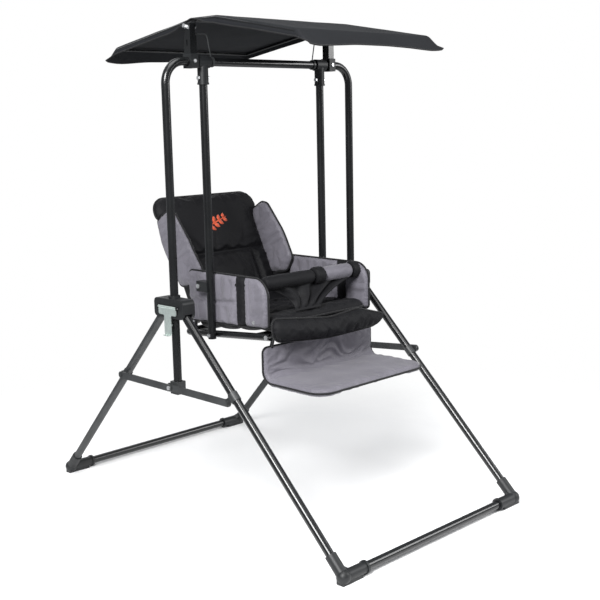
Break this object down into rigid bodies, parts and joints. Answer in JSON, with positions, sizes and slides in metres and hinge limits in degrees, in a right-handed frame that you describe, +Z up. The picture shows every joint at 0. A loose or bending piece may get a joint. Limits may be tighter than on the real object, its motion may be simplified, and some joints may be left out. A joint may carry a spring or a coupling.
{
  "type": "glider swing",
  "caption": "Folding garden swing for a baby: tube frame with hinged legs, hanging padded seat, footrest and tilting sun canopy.",
  "frame": {"origin": "on the floor, under the middle of the four feet", "axes": "+Z up, the seat faces -Y, the top bar lies along X"},
  "size_m": [0.7476, 1.1852, 1.321],
  "materials": {
    "black_tube": "gloss black enamel",
    "dark_steel": "satin dark grey",
    "black_plastic": "satin moulded",
    "bright_fastener": "bright zinc",
    "galvanised": "galvanised",
    "black_fabric": "woven polyester",
    "grey_fabric": "woven polyester with a soft sheen",
    "canopy_fabric": "coated polyester"
  },
  "bodies": {
    "root": {"top_arch": "black_tube", "upright_left": "black_tube", "upright_right": "black_tube", "lower_bracket_left": "dark_steel", "lower_bracket_right": "dark_steel", "frame_rivets": "bright_fastener", "canopy_clamps": "black_plastic", "canopy_posts": "black_tube", "canopy_sliders": "black_tube", "canopy_stays": "dark_steel", "canopy_wing_bolts": "bright_fastener"},
    "hubs": {"hub_left": "black_plastic", "hub_right": "black_plastic", "hub_bolts": "bright_fastener"},
    "front_legs": {"front_leg_left": "black_tube", "front_leg_right": "black_tube", "front_cross_tube": "black_tube", "front_foot_left": "black_plastic", "front_foot_right": "black_plastic", "front_leg_ears": "dark_steel"},
    "rear_legs": {"rear_leg_left": "dark_steel", "rear_leg_right": "dark_steel", "rear_cross_tube": "black_tube", "rear_foot_left": "black_plastic", "rear_foot_right": "black_plastic", "rear_leg_ears": "dark_steel"},
    "front_link_left": {"link_front_left": "dark_steel"},
    "front_link_right": {"link_front_right": "dark_steel"},
    "rear_link_left": {"link_rear_left": "dark_steel"},
    "rear_link_right": {"link_rear_right": "dark_steel"},
    "latch_left": {"latch_lever_left": "galvanised"},
    "latch_right": {"latch_lever_right": "galvanised"},
    "swing": {"hanger_bearing_left": "black_plastic", "hanger_bearing_right": "black_plastic", "hanger_left": "black_tube", "hanger_right": "black_tube", "hanger_bolts": "bright_fastener", "seat_base_frame": "black_tube", "seat_cross_tube": "black_tube", "guard_bar_frame": "black_tube", "hanger_side_brackets": "black_plastic", "side_bracket_rivets": "bright_fastener", "seat_cushion": "black_fabric", "side_wall_left": "grey_fabric", "side_wall_right": "grey_fabric", "guard_bar_pad": "black_fabric", "crotch_panel": "black_fabric", "snap_buttons": "bright_fastener", "recline_brackets": "black_tube", "recline_bolts": "bright_fastener", "footrest_rivets": "bright_fastener"},
    "backrest": {"backrest_frame": "black_tube", "backrest_pad": "black_fabric", "wing_left": "grey_fabric", "wing_right": "grey_fabric"},
    "footrest": {"footrest_frame": "black_tube", "footrest_pad": "grey_fabric"},
    "canopy": {"canopy_side_rods": "black_tube", "canopy_cross_rods": "black_tube", "canopy_cloth": "canopy_fabric"}
  },
  "joints": [
    {"name": "hub_slide", "type": "slide", "parent": "root", "child": "hubs", "axis": [0, 0, 1], "range_m": [0, 0.299]},
    {"name": "front_leg_fold", "type": "hinge", "parent": "hubs", "child": "front_legs", "pos_m": [0, -0.006, 0.58], "axis": [1, 0, 0], "range_deg": [0, 45.38]},
    {"name": "rear_leg_fold", "type": "hinge", "parent": "hubs", "child": "rear_legs", "pos_m": [0, 0.05, 0.58], "axis": [1, 0, 0], "range_deg": [-43.07, 0]},
    {"name": "front_link_left_fold", "type": "hinge", "parent": "root", "child": "front_link_left", "pos_m": [0, 0.032, 0.365], "axis": [1, 0, 0], "range_deg": [-85.36, 0]},
    {"name": "rear_link_left_fold", "type": "hinge", "parent": "root", "child": "rear_link_left", "pos_m": [0, 0.032, 0.365], "axis": [1, 0, 0], "range_deg": [0, 85.1]},
    {"name": "front_link_right_fold", "type": "hinge", "parent": "root", "child": "front_link_right", "pos_m": [0, 0.012, 0.365], "axis": [1, 0, 0], "range_deg": [-78.28, 0]},
    {"name": "rear_link_right_fold", "type": "hinge", "parent": "root", "child": "rear_link_right", "pos_m": [0, 0.012, 0.365], "axis": [1, 0, 0], "range_deg": [0, 82.48]},
    {"name": "latch_left_swing", "type": "hinge", "parent": "hubs", "child": "latch_left", "pos_m": [-0.3648, 0.022, 0.584], "axis": [0, 1, 0], "range_deg": [0, 20], "stiffness_Nm_per_rad": 0.15, "springref_deg": -8.59},
    {"name": "latch_right_swing", "type": "hinge", "parent": "hubs", "child": "latch_right", "pos_m": [0.3648, 0.022, 0.584], "axis": [0, -1, 0], "range_deg": [0, 20], "stiffness_Nm_per_rad": 0.15, "springref_deg": -8.59},
    {"name": "seat_swing", "type": "hinge", "parent": "root", "child": "swing", "pos_m": [0, 0.022, 1.211], "axis": [1, 0, 0], "range_deg": [-25, 25]},
    {"name": "backrest_recline", "type": "hinge", "parent": "swing", "child": "backrest", "pos_m": [0, 0.152, 0.503], "axis": [-1, 0, 0], "range_deg": [0, 25]},
    {"name": "footrest_fold", "type": "hinge", "parent": "swing", "child": "footrest", "pos_m": [0, -0.18122, 0.50378], "axis": [1, 0, 0], "range_deg": [-40, 25]},
    {"name": "canopy_tilt", "type": "hinge", "parent": "root", "child": "canopy", "pos_m": [0, 0.022, 1.298], "axis": [1, 0, 0], "range_deg": [-15, 15]}
  ],
  "couplings": [
    {"joint": "front_leg_fold", "follows": "hub_slide", "rad_per_m": 2.6475},
    {"joint": "rear_leg_fold", "follows": "hub_slide", "rad_per_m": -2.5129},
    {"joint": "front_link_left_fold", "follows": "hub_slide", "rad_per_m": -4.9817},
    {"joint": "rear_link_left_fold", "follows": "hub_slide", "rad_per_m": 4.9664},
    {"joint": "front_link_right_fold", "follows": "hub_slide", "rad_per_m": -4.5683},
    {"joint": "rear_link_right_fold", "follows": "hub_slide", "rad_per_m": 4.8133}
  ]
}
